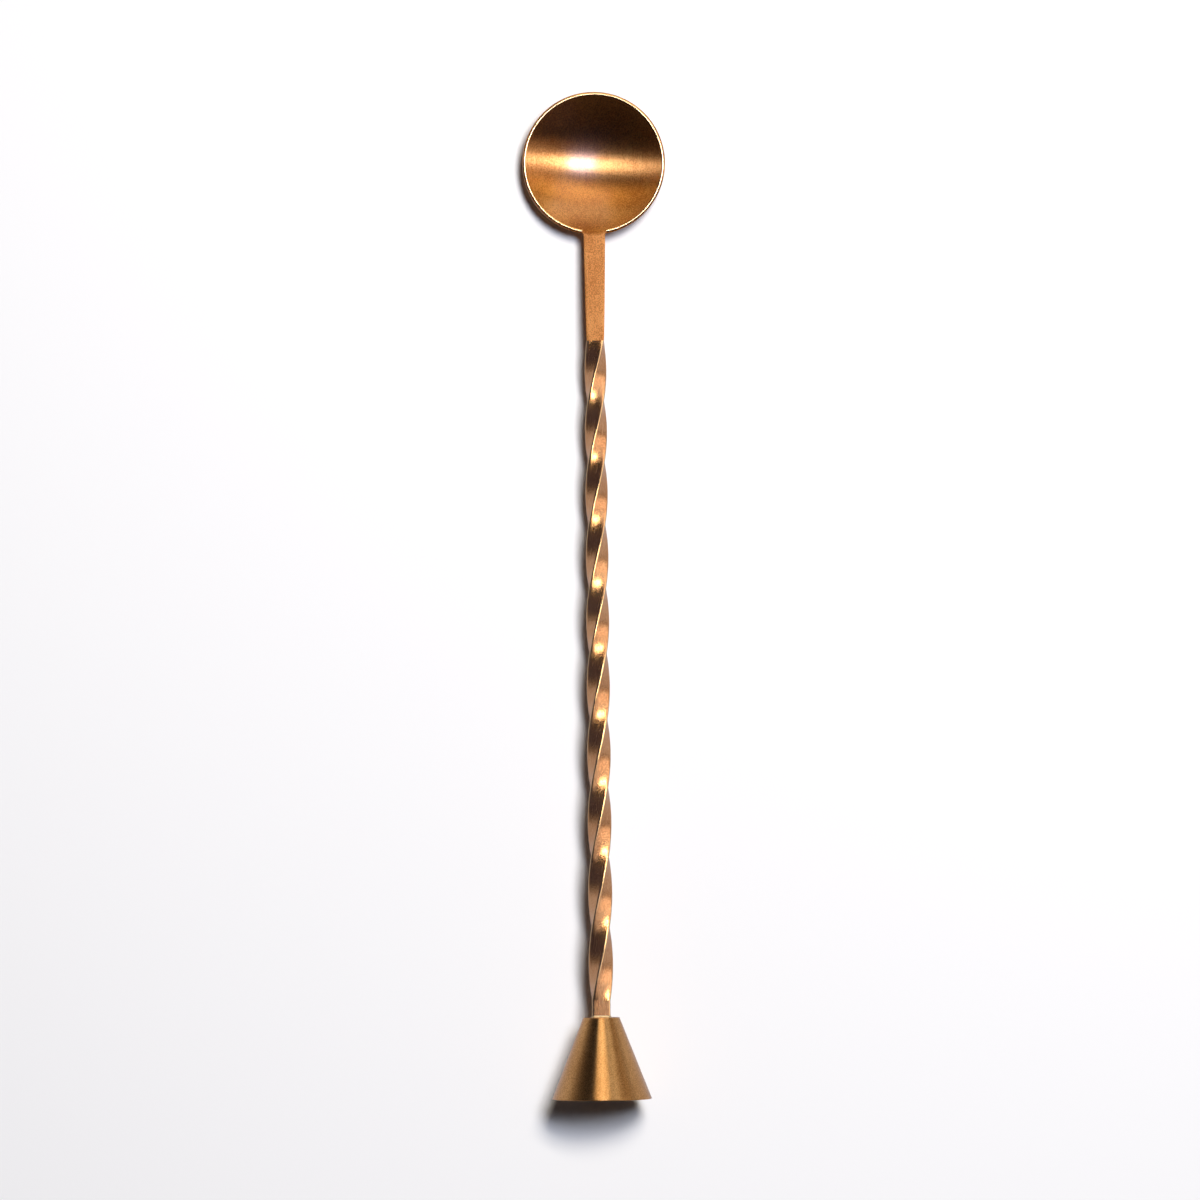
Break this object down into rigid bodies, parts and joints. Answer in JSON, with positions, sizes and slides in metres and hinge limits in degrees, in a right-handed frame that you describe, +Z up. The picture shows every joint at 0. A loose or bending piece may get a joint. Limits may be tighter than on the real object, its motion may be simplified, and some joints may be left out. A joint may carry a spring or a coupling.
{
  "type": "bar spoon",
  "caption": "Long bar spoon with a round shallow bowl, a flat neck, a twisted square stem for stirring and a cone-shaped foot for muddling and layering.",
  "frame": {"origin": "On the table under the middle of the spoon: centre of the bounding box's underside", "axes": "+Y along the table from the cone foot to the bowl, +Z up out of the open bowl, +X to the right seen from above with the bowl at the top"},
  "size_m": [0.0354, 0.2502, 0.0248],
  "materials": {
    "copper_satin": "copper-coloured plating on steel, brushed lengthwise, darker in the hollows",
    "bronze_turned": "bronze-coloured plating on steel, with fine turning lines round the cone",
    "braze": "bright brazed bead, wiped smooth"
  },
  "bodies": {
    "root": {"bowl_and_neck": "copper_satin", "twisted_stem": "copper_satin", "foot_braze": "braze", "cone_foot": "bronze_turned"}
  },
  "joints": []
}
